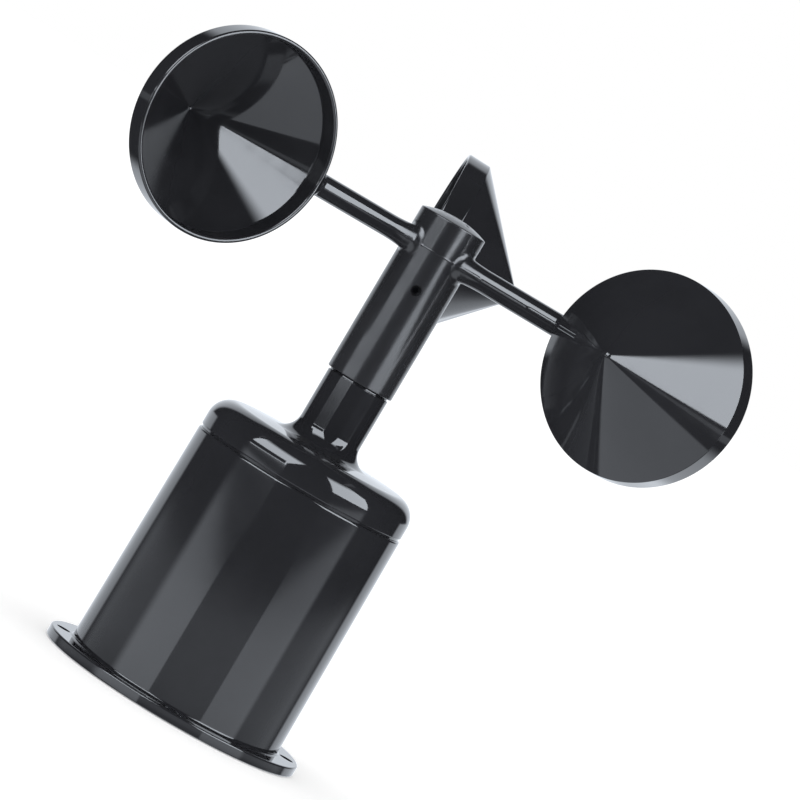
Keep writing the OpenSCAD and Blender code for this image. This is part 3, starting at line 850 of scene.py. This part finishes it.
def make_cup(node, turn):
    shell = joined(lathe(cup_outline(), around=256), cone_spine())
    facing = Matrix.Rotation(math.radians(90), 4, "X")
    placed(shell, Matrix.Translation((cup_ring_r, 0, arm_z)) @ facing)
    return piece(node + "_shell", turned(shell, turn), "rotor", "rotor_plastic", [node])


# ---------------------------------------------------------------- cable socket

thread_pitch = 1.0
thread_depth = 0.5


def threaded_tube():
    """Socket body with a rolled thread from its flange to its mouth, along +Z."""
    flange_top = socket_flange_face + socket_flange_t
    body = lathe(rounded([
        (socket_bore_r, socket_back, 0.2), (socket_r, socket_back, 0.4),
        (socket_r, socket_flange_face, 0), (socket_flange_r, socket_flange_face, 0.3),
        (socket_flange_r, flange_top, 0.4), (socket_r - thread_depth, flange_top, 0.2),
        (socket_r - thread_depth, socket_front, 0.2), (socket_bore_r, socket_front, 0.3),
    ], steps=4), around=96)
    return joined(body, thread_sleeve(flange_top + 0.4, socket_front - 0.5))


def thread_sleeve(low, high, around=96, rows_per_pitch=8):
    """Helical thread as a closed sleeve that overlaps the body it is joined to."""
    count = round((high - low) / thread_pitch * rows_per_pitch)
    bm = bmesh.new()
    root_r = socket_r - thread_depth - 0.02
    inner_r = socket_r - thread_depth - 0.3
    rings = []
    for i in range(count + 1):
        z = low + (high - low) * i / count
        fade = min(1.0, min(z - low, high - z) / thread_pitch)
        ring = []
        for k in range(around):
            turn = math.tau * k / around
            wave = 0.5 + 0.5 * math.cos(math.tau * (z / thread_pitch - k / around))
            r = root_r + (socket_r - root_r) * fade * wave
            ring.append(bm.verts.new((r * math.cos(turn), r * math.sin(turn), z)))
        rings.append(ring)
    for z in (high, low):
        turns = [math.tau * k / around for k in range(around)]
        rings.append([bm.verts.new((inner_r * math.cos(a), inner_r * math.sin(a), z)) for a in turns])
    for here, there in zip(rings, rings[1:] + rings[:1]):
        for k in range(around):
            n = (k + 1) % around
            bm.faces.new((here[k], here[n], there[n], there[k]))
    return facing_out(bm)


def make_socket():
    shell = along_socket(threaded_tube())
    return piece("socket_body", shell, "stator", "socket_metal", ["socket_shell"], crease=50)


# ---------------------------------------------------------------- materials of the CAD nodes

def dress_cad_nodes():
    """Gives each CAD node the material of its slot in the record, and the set screw its black finish."""
    for part in frame["record"]["subparts"]:
        shown = frame["nodes"][part["node"]]
        finish = "black_oxide" if part["node"] == "hub_set_screw" else part["material_slot"]
        shown.data.materials.clear()
        shown.data.materials.append(materials[finish])


# ---------------------------------------------------------------- studio

# Directions in the surround are degrees: azimuth from straight in front, with the left negative, and
# height from the horizon. An edge is a pair of its angle and how far it fades to each side.

SOFTBOX_LIGHT = 10.0
SOFTBOX_TOP = (45, 7)
LEFT_BOX_OUTER = -69
LEFT_BOX_INNER = -23.8
LEFT_BOX_SLANT = (-26.8, 0.396)
LEFT_BOX_FOOT = (-2.2, 0.2)
LEFT_BOX_FOOT_SHARE = 0.65
LEFT_BOX_GAP_LOW = (1, 1)
LEFT_BOX_GAP_HIGH = (14, 2)
LEFT_BOX_GAP_END = (-25.5, 0.2)
RIGHT_BOX_SLANT = (29.8, -0.15)
RIGHT_BOX_OUTER = 73
RIGHT_BOX_FOOT = (-1.1, 0.2)

TABLE_NEAR_LIGHT = 1.4
TABLE_NEAR_SLANT = (-23.8, 0.094)
TABLE_LEFT_LIGHT = 1.75
TABLE_LEFT_SLANT = (-4.75, -0.021)
TABLE_RIGHT_LIGHT = 1.3
TABLE_RIGHT_SLANT = (-4.93, 0.029)
TABLE_SIDE_LIGHT = 1.4
TABLE_FAR_LIGHT = 0.65
WALL_LIGHT = 1.2

MIRRORED_TINT = (0.87, 0.925, 1.0, 1)
FLOOR_SIZE = 40.0
FLOOR_GAP = 0.0002


class Surround:
    """Regions of the surround, as node values from 0 to 1 that depend on a direction."""

    def __init__(self, tree):
        node, feed, self.maths, self.ramp, mix = links(tree)
        axes = node("ShaderNodeSeparateXYZ")
        feed(axes.inputs[0], node("ShaderNodeTexCoord").outputs["Generated"])
        x, y, z = axes.outputs
        to_front = self.maths("MULTIPLY", y, -1.0)
        self.azimuth = self.degrees(self.maths("ARCTAN2", x, to_front))
        self.height = self.degrees(self.maths("ARCSINE", z))
        self.aside = self.maths("ABSOLUTE", self.azimuth)

    def degrees(self, angle):
        return self.maths("MULTIPLY", angle, 180 / math.pi)

    def line(self, value, at_zero, slope):
        return self.maths("ADD", self.maths("MULTIPLY", value, slope), at_zero)

    def above(self, value, edge, fade=0.6):
        """Where value is past an edge, which is a number or another value."""
        if isinstance(edge, bpy.types.NodeSocket):
            return self.ramp(value, self.maths("SUBTRACT", edge, fade), self.maths("ADD", edge, fade))
        return self.ramp(value, edge - fade, edge + fade)

    def below(self, value, edge, fade=0.6):
        return self.maths("SUBTRACT", 1.0, self.above(value, edge, fade))

    def within(self, *shares):
        """Where all the regions overlap."""
        result = shares[0]
        for share in shares[1:]:
            result = self.maths("MULTIPLY", result, share)
        return result

    def brightest(self, *lights):
        result = lights[0]
        for light in lights[1:]:
            result = self.maths("MAXIMUM", result, light)
        return result

    def together(self, *lights):
        result = lights[0]
        for light in lights[1:]:
            result = self.maths("ADD", result, light)
        return result

    def lit(self, share, light):
        return self.maths("MULTIPLY", share, light)


def softboxes(sky):
    """Two tall softboxes in front. The left one has a dark gap near its foot, but not at its inner edge."""
    top = sky.below(sky.height, *SOFTBOX_TOP)
    inner = sky.brightest(sky.line(sky.height, *LEFT_BOX_SLANT), LEFT_BOX_INNER)
    foot = sky.lit(sky.below(sky.height, *LEFT_BOX_GAP_LOW), LEFT_BOX_FOOT_SHARE)
    upper = sky.above(sky.height, *LEFT_BOX_GAP_HIGH)
    whole = sky.above(sky.azimuth, *LEFT_BOX_GAP_END)
    left = sky.within(
        sky.above(sky.azimuth, LEFT_BOX_OUTER),
        sky.below(sky.azimuth, inner),
        sky.above(sky.height, *LEFT_BOX_FOOT),
        top,
        sky.brightest(foot, upper, whole),
    )
    right = sky.within(
        sky.above(sky.azimuth, sky.line(sky.height, *RIGHT_BOX_SLANT)),
        sky.below(sky.azimuth, RIGHT_BOX_OUTER),
        sky.above(sky.height, *RIGHT_BOX_FOOT),
        top,
    )
    return sky.lit(sky.together(left, right), SOFTBOX_LIGHT)


def tables(sky):
    """White table tops: near the camera, under each softbox, at the side and a dimmer one all round."""
    under = sky.within(sky.below(sky.height, -66, 2), sky.below(sky.aside, 97, 3))
    near = sky.within(
        sky.brightest(sky.below(sky.aside, 60, 4), under),
        sky.below(sky.height, sky.line(sky.azimuth, *TABLE_NEAR_SLANT), 0.8),
    )
    front_edge = sky.above(sky.height, -12, 1)
    left = sky.within(
        sky.above(sky.azimuth, -70, 6),
        sky.below(sky.azimuth, -26),
        sky.below(sky.height, sky.line(sky.azimuth, *TABLE_LEFT_SLANT), 0.35),
        front_edge,
    )
    right = sky.within(
        sky.above(sky.azimuth, 32),
        sky.below(sky.azimuth, RIGHT_BOX_OUTER, 3),
        sky.below(sky.height, sky.line(sky.azimuth, *TABLE_RIGHT_SLANT), 0.35),
        front_edge,
    )
    side = sky.within(
        sky.above(sky.azimuth, 112, 12),
        sky.below(sky.azimuth, 160, 10),
        sky.below(sky.height, -14, 4),
    )
    far = sky.within(
        sky.below(sky.aside, 125, 10),
        sky.below(sky.height, -4.35, 0.35),
        sky.above(sky.height, -7.4, 0.4),
    )
    front = sky.brightest(
        sky.lit(left, TABLE_LEFT_LIGHT),
        sky.lit(right, TABLE_RIGHT_LIGHT),
        sky.lit(near, TABLE_NEAR_LIGHT),
    )
    return sky.together(front, sky.lit(side, TABLE_SIDE_LIGHT), sky.lit(far, TABLE_FAR_LIGHT))


def walls(sky):
    """White wall behind the object: a low wide strip and a taller part in the middle."""
    strip = sky.within(
        sky.above(sky.aside, 132, 3),
        sky.below(sky.height, 2, 2),
        sky.above(sky.height, -9, 2),
    )
    tall = sky.within(sky.above(sky.aside, 151, 5), sky.below(sky.height, 46, 5))
    return sky.lit(sky.brightest(strip, tall), WALL_LIGHT)


def make_studio():
    """Even white light. Gloss mirrors softboxes, tables and a wall instead of the even white."""
    world = bpy.data.worlds.new("studio")
    bpy.context.scene.world = world
    world.use_nodes = True
    world.cycles.sampling_method = "NONE"
    tree = world.node_tree
    node, feed, maths, ramp, mix = links(tree)
    sky = Surround(tree)
    mirrored = node("ShaderNodeLightPath").outputs["Is Glossy Ray"]
    strength = node("ShaderNodeMix", data_type="FLOAT")
    feed(strength.inputs["Factor"], mirrored)
    feed(strength.inputs[2], 1.0)
    feed(strength.inputs[3], sky.together(softboxes(sky), tables(sky), walls(sky)))
    background = tree.nodes["Background"]
    feed(background.inputs["Color"], mix(mirrored, (1, 1, 1, 1), MIRRORED_TINT))
    feed(background.inputs["Strength"], strength.outputs[0])
    bpy.context.scene.view_settings.view_transform = "Standard"


def floor_paint():
    """Pale paint, faintly cloudy and without gloss, that isn't there when seen from below."""
    paint = bpy.data.materials.new("floor_paint")
    paint.use_nodes = True
    tree = paint.node_tree
    node, feed, maths, ramp, mix = links(tree)
    cloud = noise(tree, node("ShaderNodeTexCoord").outputs["Object"], 0.004)
    shader = tree.nodes["Principled BSDF"]
    feed(shader.inputs["Base Color"], mix(cloud, (0.90, 0.90, 0.90, 1), (0.93, 0.93, 0.93, 1)))
    shader.inputs["Roughness"].default_value = 0.9
    shader.inputs["Specular IOR Level"].default_value = 0.0
    shader.inputs["Emission Color"].default_value = (1, 1, 1, 1)
    shader.inputs["Emission Strength"].default_value = 0.25
    seen_from_below = node("ShaderNodeMixShader")
    feed(seen_from_below.inputs["Fac"], node("ShaderNodeNewGeometry").outputs["Backfacing"])
    feed(seen_from_below.inputs[1], shader.outputs["BSDF"])
    feed(seen_from_below.inputs[2], node("ShaderNodeBsdfTransparent").outputs[0])
    feed(tree.nodes["Material Output"].inputs["Surface"], seen_from_below.outputs[0])
    return paint


def make_floor():
    """Plain pale floor, seen by the camera and by soft light but not mirrored in the black plastic."""
    bm = bmesh.new()
    bmesh.ops.create_grid(bm, x_segments=8, y_segments=8, size=FLOOR_SIZE / 2)
    floor = as_object("floor", bm)
    floor.location.z = cad_box[0].z - FLOOR_GAP
    floor.data.materials.append(floor_paint())
    floor.visible_glossy = False


camera_place = Vector((-56.7, -1252.5, 154.8)) * MM
camera_yaw = 0.0550
camera_pitch = 0.0387
camera_roll = math.radians(30.682)
camera_lens = 201.6
camera_sensor = 36


def make_camera():
    """Camera in front and a little to the left, looking slightly down, rolled as the picture is."""
    level = math.cos(camera_pitch)
    forward = Vector((
        math.sin(camera_yaw) * level, math.cos(camera_yaw) * level, -math.sin(camera_pitch)))
    right = forward.cross(Vector((0, 0, 1))).normalized()
    up = right.cross(forward)
    rolled_right = right * math.cos(camera_roll) + up * math.sin(camera_roll)
    rolled_up = up * math.cos(camera_roll) - right * math.sin(camera_roll)
    lens = bpy.data.cameras.new("camera")
    lens.sensor_width = camera_sensor
    lens.lens = camera_lens
    lens.clip_start = 0.05
    lens.clip_end = 100
    camera = bpy.data.objects.new("camera", lens)
    bpy.context.scene.collection.objects.link(camera)
    turn = Matrix((rolled_right, rolled_up, -forward)).transposed()
    camera.matrix_world = Matrix.Translation(camera_place) @ turn.to_4x4()
    bpy.context.scene.camera = camera


# ---------------------------------------------------------------- the model

make_camera()
make_studio()
make_floor()
dress_cad_nodes()
make_housing()
make_base_plate()
make_cap()
make_rotor()
for cup_node, cup_turn in arm_turns.items():
    make_cup(cup_node, cup_turn)
make_socket()
